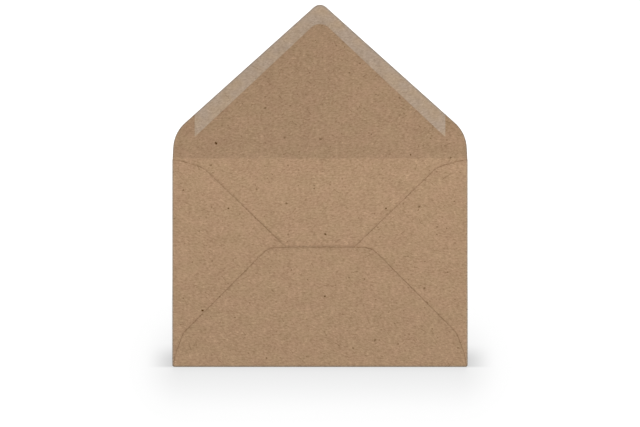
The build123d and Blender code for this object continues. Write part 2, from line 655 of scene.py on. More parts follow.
        low, high = vertices[:, :2].min(0), vertices[:, :2].max(0)
        uv = self.map_margin + (1 - 2 * self.map_margin) * (place[:, :2] - low) / (high - low)
        uv[:, 1] = (uv[:, 1] + surface) * (1 - self.edge_band) / 2
        uv[6 * face_count :] = self._edge_strip(vertices, rim)
        layer = mesh.uv_layers.new(name="OFBake")
        layer.data.foreach_set("uv", uv.astype(np.float32).ravel())

    def _edge_strip(self, vertices: np.ndarray, rim: list[tuple[int, int]]) -> np.ndarray:
        """Lay the cut edge out in rows across the top of the map.

        Args:
            vertices: The piece's vertices.
            rim: The runs of the outline in order.

        Returns:
            The place of each corner of the cut edge on the map.
        """
        runs = np.array(rim)
        lengths = np.linalg.norm(vertices[runs[:, 1], :2] - vertices[runs[:, 0], :2], axis=1)
        ends = np.cumsum(lengths)
        begins = ends - lengths
        full = ends[-1] / self.edge_rows
        row = np.minimum(begins // full, self.edge_rows - 1)
        left, right = (self.map_margin + self.row_length * (at / full - row) for at in (begins, ends))
        height = self.edge_band / self.edge_rows
        low = 1 - self.edge_band + (row + self.row_margin) * height
        high = low + (1 - 2 * self.row_margin) * height
        u = np.column_stack((left, right, right, left))
        v = np.column_stack((low, low, high, high))
        return np.column_stack((u.ravel(), v.ravel()))


# --- Wiring of node trees ---------------------------------------------------


@dataclass(frozen=True)
class Wire:
    """An output in a node tree, on which arithmetic adds the nodes that work it out."""

    bench: Bench
    socket: bpy.types.NodeSocket

    def __add__(self, other: Value) -> Wire:
        """Sum."""
        return self.bench.maths("ADD", self, other)

    def __sub__(self, other: Value) -> Wire:
        """Difference."""
        return self.bench.maths("SUBTRACT", self, other)

    def __rsub__(self, other: Value) -> Wire:
        """Difference from a number."""
        return self.bench.maths("SUBTRACT", other, self)

    def __mul__(self, other: Value) -> Wire:
        """Product."""
        return self.bench.maths("MULTIPLY", self, other)

    def __truediv__(self, other: Value) -> Wire:
        """Quotient."""
        return self.bench.maths("DIVIDE", self, other)

    def __gt__(self, other: Value) -> Wire:
        """1 where it is greater, and 0 elsewhere."""
        return self.bench.maths("GREATER_THAN", self, other)

    __radd__ = __add__
    __rmul__ = __mul__

    def size(self) -> Wire:
        """The number without its sign."""
        return self.bench.maths("ABSOLUTE", self)

    def sine(self) -> Wire:
        """Sine of an angle in radians."""
        return self.bench.maths("SINE", self)

    def cosine(self) -> Wire:
        """Cosine of an angle in radians."""
        return self.bench.maths("COSINE", self)

    def at_least(self, other: Value) -> Wire:
        """The greater of the two."""
        return self.bench.maths("MAXIMUM", self, other)

    def at_most(self, other: Value) -> Wire:
        """The lesser of the two."""
        return self.bench.maths("MINIMUM", self, other)


Value = Union[Wire, float, int, tuple]


@dataclass(frozen=True)
class Bench:
    """A node tree and the means to wire it."""

    tree: bpy.types.NodeTree

    @property
    def shader(self) -> bpy.types.Node:
        """The shader of a material's tree."""
        return self.tree.nodes["Principled BSDF"]

    def node(self, kind: str, feeds: dict | None = None, **settings: object) -> bpy.types.Node:
        """Add a node.

        Args:
            kind: Its type.
            feeds: What goes into its inputs, by their names or numbers.
            **settings: The node's own options.

        Returns:
            The node.
        """
        node = self.tree.nodes.new(kind)
        for name, value in settings.items():
            setattr(node, name, value)
        for key, value in (feeds or {}).items():
            self.feed(node.inputs[key], value)
        return node

    def feed(self, socket: bpy.types.NodeSocket, value: Value) -> None:
        """Link a wire to an input, or set the input to a constant.

        Args:
            socket: The input.
            value: What goes into it.
        """
        if isinstance(value, Wire):
            self.tree.links.new(value.socket, socket)
        else:
            socket.default_value = value

    def wire(self, node: bpy.types.Node, output: str | int = 0) -> Wire:
        """One output of a node as a wire."""
        return Wire(self, node.outputs[output])

    def maths(self, operation: str, *values: Value) -> Wire:
        """Work out one number from others."""
        feeds = dict(enumerate(values))
        return self.wire(self.node("ShaderNodeMath", feeds, operation=operation))

    def ramp(self, value: Value, start: Value, end: Value) -> Wire:
        """Rise smoothly from 0 at start to 1 at end, or fall if end is the lower."""
        feeds = {"Value": value, "From Min": start, "From Max": end}
        return self.wire(self.node("ShaderNodeMapRange", feeds, interpolation_type="SMOOTHSTEP"))

    def length(self, x: Wire, y: Wire) -> Wire:
        """Distance that two runs at right angles make."""
        return self.maths("SQRT", x * x + y * y)

    def vector(self, x: Value, y: Value, z: Value = 0.0) -> Wire:
        """Join three numbers."""
        return self.wire(self.node("ShaderNodeCombineXYZ", {0: x, 1: y, 2: z}))

    def split(self, vector: Wire) -> tuple[Wire, Wire, Wire]:
        """Take a vector apart."""
        node = self.node("ShaderNodeSeparateXYZ", {0: vector})
        return self.wire(node, 0), self.wire(node, 1), self.wire(node, 2)

    def noise(self, place: Wire, detail: float, seed: Value) -> Wire:
        """Soft noise about 0, with features about 1 unit across.

        Args:
            place: Where to read it.
            detail: How many finer octaves it has.
            seed: Which noise it is.

        Returns:
            A number between about -0.5 and 0.5.
        """
        feeds = {"Vector": place, "W": seed, "Scale": 1.0, "Detail": detail}
        return self.wire(self.node("ShaderNodeTexNoise", feeds, noise_dimensions="4D")) - NOISE_REACH

    def blend(self, share: Value, first: Value, second: Value, mode: str = "MIX") -> Wire:
        """Blend two colours."""
        feeds = {0: share, 6: first, 7: second}
        return self.wire(self.node("ShaderNodeMix", feeds, data_type="RGBA", blend_type=mode), 2)

    def attribute(self, which: Attribute, output: str = "Fac") -> Wire:
        """An attribute of the blank, in a material's tree."""
        return self.wire(self.node("ShaderNodeAttribute", attribute_name=which.value), output)


def total(wires: list[Wire]) -> Wire:
    """Sum of some wires."""
    return sum(wires[1:], wires[0])


# --- The rule that folds the blank ------------------------------------------


@dataclass(frozen=True)
class SoftShape:
    """How far the paper departs from dead flat, and where each rise starts and fades."""

    pocket_rise: float = 0.08 * MM
    pocket_ramp: float = 46.0 * MM
    seam_rise: float = 0.12 * MM
    ripple: float = 0.10 * MM
    ripple_length: float = 38.0 * MM
    ripple_seed: float = 4.0
    ripple_fade: float = 0.60  # of the closure flap's length, as are the curl's
    ripple_end: float = 0.95
    flap_sag: float = 0.62 * MM
    flap_twist: float = 0.015
    twist_start: float = 2.0 * MM
    twist_end: float = 26.0 * MM
    gum_curl: float = 0.22 * MM
    gum_curl_width: float = 9.0 * MM
    curl_start: float = 0.15
    curl_full: float = 0.40
    curl_fade: float = 0.80
    curl_end: float = 1.0
    edge_lift: float = 0.05 * MM
    edge_lift_width: float = 2.2 * MM
    lift_start: float = 4.0 * MM
    lift_full: float = 12.0 * MM
    lift_fade: float = 0.95  # of the panel's half width
    lift_end: float = 0.985


class FoldingRule:
    """Geometry Nodes that fold flat pieces of the blank and soften the paper."""

    fold_sizes: tuple[str, ...] = (
        "panel_half_width",
        "panel_bottom",
        "half_height",
        "half_paper",
        "side_bend",
        "bottom_bend",
        "crease_bend",
        "fold_angle",
        "flap_lift",
        "flap_length",
    )

    def __init__(self, blank: Blank, shape: SoftShape) -> None:
        """Wire the tree.

        Args:
            blank: Sizes of the folds.
            shape: Softness of the paper.
        """
        self.sizes = {name: getattr(blank, name) for name in self.fold_sizes} | asdict(shape)
        inputs = {"Geometry": "Geometry", "Finish": "Material"} | dict.fromkeys(self.sizes, "Float")
        self.tree = self._new_tree("fold_the_blank", inputs, {"Geometry": "Geometry"})
        self.bend_tree = self._bend_tree()
        self.bench = bench = Bench(self.tree)
        given = bench.node("NodeGroupInput")
        self.size = SimpleNamespace(**{name: bench.wire(given, name) for name in self.sizes})
        self.place = bench.split(self._field("GeometryNodeInputPosition"))
        self.part = self._named(Attribute.PART, "INT")
        paper = self._soften(self._fold_flaps(bench.wire(given, "Geometry")))
        real = self._field("GeometryNodeRealizeInstances", {"Geometry": paper})
        feeds = {"Geometry": real, "Material": bench.wire(given, "Finish")}
        bench.node("NodeGroupOutput", {"Geometry": self._field("GeometryNodeSetMaterial", feeds)})

    @staticmethod
    def _new_tree(name: str, inputs: dict[str, str], outputs: dict[str, str]) -> bpy.types.NodeTree:
        """Start a tree.

        Args:
            name: The tree's name.
            inputs: The name of each input, and its kind.
            outputs: The name of each output, and its kind.

        Returns:
            The tree, with nothing in it.
        """
        tree = bpy.data.node_groups.new(name, "GeometryNodeTree")
        for way, sockets in (("INPUT", inputs), ("OUTPUT", outputs)):
            for label, kind in sockets.items():
                tree.interface.new_socket(label, in_out=way, socket_type=f"NodeSocket{kind}")
        return tree

    def _bend_tree(self) -> bpy.types.NodeTree:
        """Wire the bend that every fold shares: round a radius, and then on straight.

        Returns:
            The bend's own tree.
        """
        inputs = dict.fromkeys(("Run", "Offset", "Radius", "Angle"), "Float")
        tree = self._new_tree("bend_paper", inputs, dict.fromkeys(("Along", "Up"), "Float"))
        bench = Bench(tree)
        given = bench.node("NodeGroupInput")
        run, offset, radius, angle = (bench.wire(given, name) for name in inputs)
        turned = (run / radius).at_least(0.0).at_most(angle)
        straight = run - radius * turned
        sine, cosine = turned.sine(), turned.cosine()
        along = radius * sine + straight * cosine - offset * sine
        up = radius * (1.0 - cosine) + straight * sine + offset * cosine
        bench.node("NodeGroupOutput", {"Along": along, "Up": up})
        return tree

    def _field(self, kind: str, feeds: dict | None = None, **options: str) -> Wire:
        """Add a node of the rule and take its first output."""
        return self.bench.wire(self.bench.node(kind, feeds, **options))

    def _named(self, attribute: Attribute, kind: str) -> Wire:
        """Read an attribute of the blank."""
        name = {"Name": attribute.value}
        return self._field("GeometryNodeInputNamedAttribute", name, data_type=kind)

    def _on(self, part: Part) -> Wire:
        """1 on one part of the blank."""
        options = {"data_type": "INT", "operation": "EQUAL"}
        return self._field("FunctionNodeCompare", {"A": self.part, "B": int(part)}, **options)

    def _bend(self, run: Wire, radius: Wire, angle: Wire) -> tuple[Wire, Wire]:
        """Add the shared bend.

        Args:
            run: How far past the start of the fold each point is.
            radius: Radius of the fold.
            angle: How far the fold turns.

        Returns:
            How far along and how far up it leads.
        """
        feeds = {"Run": run, "Offset": self.place[2], "Radius": radius, "Angle": angle}
        node = self.bench.node("GeometryNodeGroup", feeds, node_tree=self.bend_tree)
        return self.bench.wire(node, "Along"), self.bench.wire(node, "Up")

    def _move(self, paper: Wire, place: Wire, part: Part | None = None) -> Wire:
        """Put the vertices of one part, or of the whole piece, in a new place.

        Args:
            paper: The piece.
            place: Where they go.
            part: The part that moves, or None for the whole piece.

        Returns:
            The piece with its vertices moved.
        """
        chosen = {} if part is None else {"Selection": self._on(part)}
        feeds = {"Geometry": paper, "Position": place, **chosen}
        return self._field("GeometryNodeSetPosition", feeds)

    def _fold_flaps(self, paper: Wire) -> Wire:
        """Turn the side flaps in and the bottom flap up, and lift the closure flap.

        Args:
            paper: The flat piece.

        Returns:
            The folded piece.
        """
        bench, size = self.bench, self.size
        x, y, _ = self.place
        start = size.panel_half_width
        along, up = self._bend(x.size() - start, size.side_bend, size.fold_angle)
        across = bench.maths("SIGN", x) * (start + along)
        paper = self._move(paper, bench.vector(across, y, up), Part.SIDE_FLAP)
        start = size.panel_bottom
        along, up = self._bend(start - y, size.bottom_bend, size.fold_angle)
        paper = self._move(paper, bench.vector(x, start - along, up), Part.BOTTOM_FLAP)
        start = size.half_height
        along, up = self._bend(y - start, size.crease_bend, size.flap_lift)
        return self._move(paper, bench.vector(x, start + along, up), Part.CLOSURE_FLAP)

    def _soften(self, paper: Wire) -> Wire:
        """Let the pocket rise, the flap sag and the whole sheet ripple, all upwards.

        Args:
            paper: The folded piece.

        Returns:
            The softened piece, which lies on the floor.
        """
        bench, size = self.bench, self.size
        x, y, z = self.place
        edge = self._named(Attribute.EDGE_DISTANCE, "FLOAT")
        on_bottom = self._on(Part.BOTTOM_FLAP)

        across = (x / size.panel_half_width).size().at_most(1.0)
        crown = 1.0 - across * across
        above_fold = y - size.panel_bottom
        from_bottom = bench.ramp(above_fold, 0.0, size.pocket_ramp)
        on_back = self._on(Part.SIDE_FLAP) + on_bottom
        pocket = size.pocket_rise * crown * from_bottom * on_back
        seam = size.seam_rise * from_bottom * on_bottom

        away = bench.ramp(above_fold, size.lift_start, size.lift_full)
        away = away * bench.ramp(across, size.lift_end, size.lift_fade)
        free = bench.ramp(edge, size.edge_lift_width, 0.0)
        back = pocket + seam + size.edge_lift * free * away * on_bottom

        run = (y - size.half_height).at_least(0.0)
        share = (run / size.flap_length).at_most(1.0)
        sag = size.flap_sag * (share * math.pi).sine()
        curl = size.gum_curl * bench.ramp(edge, size.gum_curl_width, 0.0)
        curl = curl * bench.ramp(share, size.curl_start, size.curl_full)
        curl = curl * bench.ramp(share, size.curl_end, size.curl_fade)
        twist = size.flap_twist * bench.ramp(x, size.twist_start, size.twist_end) * run
        flap = (curl - sag - twist) * self._on(Part.CLOSURE_FLAP)

        scaled = bench.vector(x / size.ripple_length, y / size.ripple_length)
        ripple = size.ripple * (bench.noise(scaled, 1.0, size.ripple_seed) + NOISE_REACH)
        ripple = ripple * bench.ramp(share, size.ripple_end, size.ripple_fade)
        height = z + size.half_paper + back + flap + ripple
        return self._move(paper, bench.vector(x, y, height))

    def fold(self, piece: bpy.types.Object, finish: bpy.types.Material) -> None:
        """Fold a flat piece and leave it as a plain mesh.

        Args:
            piece: The flat piece, with its parts marked.
            finish: The material that the rule dresses it in.
        """
        modifier = piece.modifiers.new("fold", "NODES")
        modifier.node_group = self.tree
        inputs = [item for item in self.tree.interface.items_tree if item.in_out == "INPUT"]
        named = {item.name: item.identifier for item in inputs}
        modifier[named["Finish"]] = finish
        for name, size in self.sizes.items():
            modifier[named[name]] = float(size)
        graph = bpy.context.evaluated_depsgraph_get()
        folded = bpy.data.meshes.new_from_object(piece.evaluated_get(graph))
        piece.modifiers.clear()
        flat = piece.data
        piece.data = folded
        bpy.data.meshes.remove(flat)
        folded.name = piece.name


# --- Finishes ---------------------------------------------------------------

Colour = tuple[float, float, float, float]


@dataclass(frozen=True)
class Mottle:
    """Soft uneven marks: their size, contrast, finer octaves, seed, relief and turn.

    A contrast or a relief is what the marks count for in the paper's shade or its height.
    """

    across: float
    up: float
    contrast: float = 1.0
    detail: float = 2.0
    seed: float = 0.0
    relief: float = 0.0
    turn: float = 0.0

    def wire(self, bench: Bench, x: Wire, y: Wire, z: Wire) -> Wire:
        """Wire the marks.

        Args:
            bench: The material's tree.
            x: Place across the blank.
            y: Place up the blank.
            z: Which surface of the sheet it is.

        Returns:
            A number between about -0.5 and 0.5.
        """
        if self.turn:
            c, s = math.cos(self.turn), math.sin(self.turn)
            x, y = x * c + y * s, y * c - x * s
        place = bench.vector(x * (1 / self.across), y * (1 / self.up), z)
        return bench.noise(place, self.detail, self.seed)


@dataclass(frozen=True)
class Fleck:
    """Bits in the paper: how far apart, how many, how big and how much darker or paler."""

    spacing: float
    share: float
    half_length: float
    half_width: float
    strength: float
    seed: float
    seed_shift: float = 50.0
    surface_shift: float = 3.7
    turn: float = 2.4
    bow: float = 0.35
    least_length: float = 0.5
    least_width: float = 0.7
    width_range: float = 0.6
    fade_from: float = 1.45  # where a bit starts to show, in half widths from its middle
    fade_to: float = 0.25

    def wire(self, bench: Bench, x: Wire, y: Wire, z: Wire) -> Wire:
        """Scatter the bits, each turned its own way.

        Args:
            bench: The material's tree.
            x: Place across the blank.
            y: Place up the blank.
            z: Which surface of the sheet it is.

        Returns:
            How much paler or darker the paper is for them.
        """
        shift = z * self.surface_shift + self.seed_shift * self.seed
        feeds = {"Vector": bench.vector(x + shift, y), "Scale": 1 / self.spacing}
        cells = bench.node("ShaderNodeTexVoronoi", feeds, voronoi_dimensions="2D")
        chance, turn, size = bench.split(bench.wire(cells, "Color"))
        near_x, near_y, _ = bench.split(bench.wire(cells, "Position"))
        from_x, from_y = x + shift - near_x, y - near_y
        angle = (turn - 0.5) * self.turn
        c, s = angle.cosine(), angle.sine()
        along = from_x * c + from_y * s
        bow = along * along * ((chance - self.share / 2) * self.bow)
        aside = from_y * c - from_x * s + bow
        length = self.half_length * (self.least_length + size)
        width = self.half_width * (self.least_width + size * self.width_range)
        reach = (along.size() - (length - width)).at_least(0.0)
        shown = bench.ramp(bench.length(reach, aside) / width, self.fade_from, self.fade_to)
        return shown * bench.maths("LESS_THAN", chance, self.share) * self.strength


@dataclass(frozen=True)
class KraftPulp:
    """Pattern of recycled kraft pulp: clouds, patches, fibres, crossed fibres, grain and bits."""

    mottles: tuple[Mottle, ...] = (
        Mottle(16.0, 9.0, 0.18),
        Mottle(5.0, 5.0, 0.30, seed=5.0),
        Mottle(1.95, 0.92, 0.78, seed=1.0, relief=0.5),
        Mottle(1.5, 0.7, 0.66, seed=2.0, relief=0.4, turn=math.radians(24)),
        Mottle(0.42, 0.42, 0.50, detail=1.0, seed=3.0, relief=0.5),
    )
    tint: Mottle = Mottle(11.0, 8.0, detail=1.0, seed=4.0)
    flecks: tuple[Fleck, ...] = (
        Fleck(3.1, 0.45, 0.42, 0.30, 0.17, 1.0),
        Fleck(4.6, 0.30, 0.40, 0.34, -0.20, 2.0),
        Fleck(7.5, 0.35, 1.30, 0.20, -0.26, 3.0),
        Fleck(15.0, 0.42, 0.50, 0.44, -0.46, 4.0),
        Fleck(9.0, 0.40, 1.20, 0.20, 0.20, 5.0),
        Fleck(8.0, 0.25, 0.36, 0.30, -0.42, 6.0),
        Fleck(55.0, 0.45, 0.58, 0.46, -0.80, 7.0),
    )

    def wires(self, bench: Bench, place: tuple[Wire, Wire, Wire]) -> tuple[Wire, Wire, Wire]:
        """Wire the pattern.

        Args:
            bench: The material's tree.
            place: Place on the blank in millimetres, and which surface it is.

        Returns:
            How much paler or darker the paper is, its tint from -0.5 to 0.5, and its height
            from about -0.5 to 0.5.
        """
        marks = [(mottle, mottle.wire(bench, *place)) for mottle in self.mottles]
        shades = [mark * mottle.contrast for mottle, mark in marks]
        shades += [fleck.wire(bench, *place) for fleck in self.flecks]
        height = total([mark * mottle.relief for mottle, mark in marks if mottle.relief])
        return total(shades), self.tint.wire(bench, *place), height


@dataclass(frozen=True)
class KraftFinish:
    """Matt kraft paper: painted shade along its cut edges, standing for the shadow beside each flap's
    edge, partly a darker cut edge; greyer where rubbed along its folds, and greyer along the closure
    flap's edge, partly wear and partly painted shade; paler along its crease.
    """

    name: str = "kraft_paper"
    pinkish: Colour = (0.388, 0.2478, 0.1518, 1.0)
    greenish: Colour = (0.376, 0.2492, 0.1472, 1.0)
    cut_colour: Colour = (0.27, 0.175, 0.108, 1.0)
    cut_share: float = 0.8
    # grey of the rubbed folds, which also greys the closure flap's edge as partly painted shade
    rub_and_edge_shade_colour: Colour = (0.288, 0.246, 0.192, 1.0)
    tint_reach: float = 0.24
    crease_paleness: float = 0.05
    crease_width: float = 0.55
    # how far the rubbed folds and the partly painted shade along the closure flap's edge turn to that
    # grey
    rub_and_edge_shade_share: float = 0.70
    rub_width: float = 1.25
    rub_end: float = 1.0
    # greying along the closure flap's cut edge, partly wear and partly painted shade of that edge
    flap_edge_wear_and_shade: float = 0.70
    flap_edge_wear_and_shade_width: float = 1.20 * MM
    # painted shade along every cut edge, for the shadow beside each flap's edge, partly a darker cut
    # edge: how much less the closure flap takes, how dark, how wide and how patchy
    flap_rim_shade_easing: float = 0.25
    rim_shade_darkness: float = 0.32
    shaded_rim_width: float = 0.66 * MM
    rim_shade_patches: Mottle = Mottle(7.0, 7.0, 1.5, seed=9.0)
    roughness: float = 0.92
    roughness_change: float = 0.10
    specular: float = 0.12
    relief: float = 0.030 * MM
    pulp: KraftPulp = KraftPulp()

    def material(self, blank: Blank) -> bpy.types.Material:
        """Mix the finish.

        Args:
            blank: The sheet, for the places of its creases.

        Returns:
            The material.
        """
        material, bench = start_material(self.name)
        place = bench.split(bench.attribute(Attribute.BLANK, "Vector"))
        shade, tint, height = self.pulp.wires(bench, place)
        x, y, surface = place
        share = bench.ramp(tint, -self.tint_reach, self.tint_reach)
        colour = bench.blend(share, self.pinkish, self.greenish)
        cut = surface > PATTERN_GAP * (Surface.OUTER + Surface.CUT_EDGE) / 2
        colour = bench.blend(cut * self.cut_share, colour, self.cut_colour)
        crease = (blank.half_height + blank.crease_length / 2) / MM
        flap = y > crease
        edge = bench.attribute(Attribute.EDGE_DISTANCE)
        # greyer along the closure flap's cut edge, partly wear and partly painted shade, as well as
        # along the rubbed folds
        flap_edge_wear_and_shade = bench.ramp(edge, self.flap_edge_wear_and_shade_width, 0.0) * flap * self.flap_edge_wear_and_shade
        rubbed = self._rubbed(bench, x, y, blank, crease).at_least(flap_edge_wear_and_shade)
        colour = bench.blend(rubbed * self.rub_and_edge_shade_share, colour, self.rub_and_edge_shade_colour)
        # painted shade along every cut edge, for the shadow beside each flap's edge, partly a darker
        # cut edge, with less of it on the closure flap
        rim = bench.ramp(edge, self.shaded_rim_width, 0.0) * (1.0 - flap * self.flap_rim_shade_easing)
        rim = rim * (1.0 + self.rim_shade_patches.wire(bench, *place) * self.rim_shade_patches.contrast)
        pale = bench.ramp((y - crease).size(), self.crease_width, 0.0)
        change = shade + pale * self.crease_paleness - rim * self.rim_shade_darkness
        rough = self.roughness + height * self.roughness_change
        cover(bench, deepen(bench, colour, change), rough, height, self.relief)
        bench.shader.inputs["Specular IOR Level"].default_value = self.specular
        return material

    def _rubbed(self, bench: Bench, x: Wire, y: Wire, blank: Blank, crease: float) -> Wire:
        """Tell how rubbed the paper is along its side folds and its bottom fold.

        Args:
            bench: The material's tree.
            x: Place across the blank.
            y: Place up the blank.
            blank: The sheet.
            crease: Height of the middle of the closure flap's crease.

        Returns:
            1 on the middle of a fold, and less away from it.
        """
        side = (blank.panel_half_width + blank.side_length / 2) / MM
        bottom = (blank.panel_bottom - blank.bottom_length / 2) / MM
        in_body = bench.ramp(y.size(), crease, crease - self.rub_end)
        on_sides = bench.ramp((x.size() - side).size(), self.rub_width, 0.0) * in_body
        return on_sides.at_least(bench.ramp((y - bottom).size(), self.rub_width, 0.0))


@dataclass(frozen=True)
class GumFinish:
    """Dry gum rolled onto the paper: greyer, smoother and a little glossy, with painted shade along the
    flap's outer edge.
    """

    name: str = "dry_gum"
    warm: Colour = (0.45696, 0.335, 0.22895, 1.0)
    cool: Colour = (0.43904, 0.335, 0.25305, 1.0)
    tint_reach: float = 0.20
    contrast: float = 0.80
    streak_scale: tuple[float, float] = (0.4, 0.07)
    streak_seed: float = 8.0
    streak_contrast: float = 0.06
    # painted shade along the closure flap's outer edge: its grey and its width
    edge_shade_colour: Colour = (0.325, 0.290, 0.258, 1.0)
    shaded_rim_width: float = 1.10 * MM
    roughness: float = 0.66
    roughness_change: float = 0.25
    specular: float = 0.22
    relief: float = 0.012 * MM
    pulp: KraftPulp = KraftPulp()

    def material(self) -> bpy.types.Material:
        """Mix the finish.

        Returns:
            The material.
        """
        material, bench = start_material(self.name)
        place = bench.split(bench.attribute(Attribute.BLANK, "Vector"))
        shade, tint, height = self.pulp.wires(bench, place)
        across, up = (place[way] * self.streak_scale[way] for way in (0, 1))
        rolled = bench.noise(bench.vector(across, up), 2.0, self.streak_seed)
        # painted shade along the closure flap's outer edge
        rim = bench.ramp(bench.attribute(Attribute.EDGE_DISTANCE), self.shaded_rim_width, 0.0)
        change = shade * self.contrast + rolled * self.streak_contrast
        colour = bench.blend(bench.ramp(tint, -self.tint_reach, self.tint_reach), self.warm, self.cool)
        colour = bench.blend(rim, colour, self.edge_shade_colour)
        rough = self.roughness + height * self.roughness_change
        cover(bench, deepen(bench, colour, change), rough, height, self.relief)
        bench.shader.inputs["Specular IOR Level"].default_value = self.specular
        return material


@dataclass(frozen=True)
class GlueFinish:
    """Dried seam glue, cloudy where it is thin."""

    name: str = "seam_glue"
    colour: Colour = (0.60, 0.52, 0.42, 1.0)
    cloudy: Colour = (0.52, 0.42, 0.30, 1.0)
    tint_reach: float = 0.20
    clots: Mottle = Mottle(1.25, 1.25, detail=3.0, seed=1.0)
    crumbs: Mottle = Mottle(1 / 3, 1 / 3, seed=2.0, relief=0.4)
    roughness: float = 0.38
    roughness_change: float = 0.20
    relief: float = 0.02 * MM

    def material(self) -> bpy.types.Material:
        """Mix the finish.

        Returns:
            The material.
        """
        material, bench = start_material(self.name)
        place = bench.split(bench.attribute(Attribute.BLANK, "Vector"))
        clots, crumbs = self.clots.wire(bench, *place), self.crumbs.wire(bench, *place)
        share = bench.ramp(clots, -self.tint_reach, self.tint_reach)
        rough = self.roughness + crumbs * self.roughness_change
        height = clots + crumbs * self.crumbs.relief
        cover(bench, bench.blend(share, self.colour, self.cloudy), rough, height, self.relief)
        return material


def start_material(name: str) -> tuple[bpy.types.Material, Bench]:
    """Start a material.

    Args:
        name: The material's name.

    Returns:
        The material and the bench of its tree.
    """
    material = bpy.data.materials.new(name)
    material.use_nodes = True
    return material, Bench(material.node_tree)


def deepen(bench: Bench, colour: Wire, change: Wire) -> Wire:
    """Make a colour paler or darker, which shows most in its blue."""
    factor = bench.vector(*(1.0 + change * share for share in DEPTH))
    return bench.blend(1.0, colour, factor, "MULTIPLY")


def cover(bench: Bench, colour: Wire, rough: Wire, height: Wire, depth: float) -> None:
    """Give a material's shader what changes over the surface.

    Args:
        bench: The material's tree.
        colour: Its colour.
        rough: Its roughness.
        height: The height of its relief, from about -0.5 to 0.5.
        depth: Depth of the relief in metres.
    """
    bump = bench.node("ShaderNodeBump", {"Height": height, "Distance": depth, "Strength": 1.0})
    feeds = {"Base Color": colour, "Roughness": rough, "Normal": bench.wire(bump)}
    for name, value in feeds.items():
        bench.feed(bench.shader.inputs[name], value)


# --- The envelope -----------------------------------------------------------


@dataclass
class Layer:
    """Something cut flat on the blank and folded with it, to stand for one node."""

    blank: Blank
    node: str = ""
    slot: str = ""

    def flat(self) -> FlatPiece:
        """The piece before it is folded."""
        raise NotImplementedError

    def build(self, rule: FoldingRule, finish: bpy.types.Material) -> bpy.types.Object:
        """Cut it, fold it, tie it to its body, and hide the imported part of its node.

        Args:
            rule: The folding rule.
            finish: Its material.

        Returns:
            The folded piece.
        """
        piece = self.flat().build()
        rule.fold(piece, finish)
        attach(piece, BODY)
        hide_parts(self.node)
        triangles = len(piece.data.loops) - 2 * len(piece.data.polygons)
        log.info("%s stands for %s, %d triangles", piece.name, self.node, triangles)
        return piece


@dataclass
class FoldedSheet(Layer):
    """The sheet of kraft paper with all its flaps."""

    node: str = "folded_sheet"
    slot: str = "kraft_paper"
    spacing: float = 1.9 * MM

    def flat(self) -> FlatPiece:
        """The whole blank, scored at its folds."""
        cut, scores, half = self.blank.outline(), self.blank.score_lines(), self.blank.half_paper
        return FlatPiece("kraft_sheet", self.blank, cut, -half, half, self.spacing, scores)


@dataclass
class FlapGum(Layer):
    """The film of gum along the closure flap's slanted edges."""

    node: str = "flap_gum"
    slot: str = "dry_gum"
    thickness: float = 0.03 * MM
    width: float = 137.4 * MM
    edge_margin: float = 0.30 * MM
    depth_at_tip: float = 9.6 * MM
    depth_at_ends: float = 12.5 * MM
    inner_radius: float = 7.0 * MM

    def flat(self) -> FlatPiece:
        """The film on the inner face of the closure flap."""
        face = self.blank.half_paper
        return FlatPiece("dry_gum_film", self.blank, self.outline(), face, face + self.thickness)

    def outline(self) -> Outline:
        """Cut the gummed band.

        Returns:
            Its outline on the flat blank.
        """
        flap, slant = self.blank.closure, self.blank.slant
        apex = self.blank.flat_closure(flap.apex_height)
        inset_apex = apex - self.edge_margin / math.cos(slant)
        end_x = self.width / 2
        fall = end_x * math.tan(slant)
        right = [Corner(end_x, apex - fall - self.depth_at_ends), Corner(end_x, inset_apex - fall)]
        tip = Corner(0, inset_apex, flap.tip_radius - self.edge_margin)
        notch = Corner(0, apex - self.depth_at_tip, self.inner_radius)
        return Outline((*Outline.mirror_image(right, [tip]).corners, notch))


@dataclass
class SeamGlue(Layer):
    """One strip of glue along a slanted edge of the bottom flap."""

    slot: str = "seam_glue"
    hand: Hand = Hand.RIGHT
    edge_margin: float = 2.0 * MM
    width: float = 10.0 * MM
    end_margin: float = 6.0 * MM
    corner_radius: float = 1.5 * MM

    def __post_init__(self) -> None:
        """Name the node that it stands for."""
        self.node = f"seam_glue_{self.hand.name.lower()}"

    def flat(self) -> FlatPiece:
        """The strip on the inner face of the bottom flap."""
        name, face = f"seam_strip_{self.hand.name.lower()}", self.blank.half_paper
        return FlatPiece(name, self.blank, self.outline(), face, face + self.blank.seam_thickness)

    def outline(self) -> Outline:
        """Cut the strip.

        Returns:
            Its outline on the flat blank.
        """
        flap, body = self.blank.bottom, self.blank
        shoulder_x = body.half_width - flap.shoulder_inset
        shoulder = np.array((shoulder_x, flap.shoulder_height - body.half_height))
        top = np.array((flap.top_width / 2, flap.top_height - body.half_height))
        along = (top - shoulder) / np.linalg.norm(top - shoulder)
        inward = np.array((-along[1], along[0]))
        start = shoulder + along * self.end_margin + inward * self.edge_margin
        end = top - along * self.end_margin + inward * self.edge_margin
        far = inward * self.width
        places = [(self.hand * x, body.flat_bottom(y)) for x, y in (start, end, end + far, start + far)]
        return Outline(tuple(Corner(x, y, self.corner_radius) for x, y in places))


@dataclass
class Envelope:
    """The whole envelope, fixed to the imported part."""

    blank: Blank
    shape: SoftShape = SoftShape()
    kraft: KraftFinish = KraftFinish()
    gum: GumFinish = GumFinish()
    glue: GlueFinish = GlueFinish()

    def build(self) -> list[bpy.types.Object]:
        """Build every piece and let it stand for its node.

        Returns:
            The pieces.
        """
        rule = FoldingRule(self.blank, self.shape)
        pieces = [
            FoldedSheet(self.blank).build(rule, self.kraft.material(self.blank)),
            FlapGum(self.blank).build(rule, self.gum.material()),
        ]
        glue = self.glue.material()
        return pieces + [SeamGlue(self.blank, hand=hand).build(rule, glue) for hand in Hand]


# --- Studio -----------------------------------------------------------------


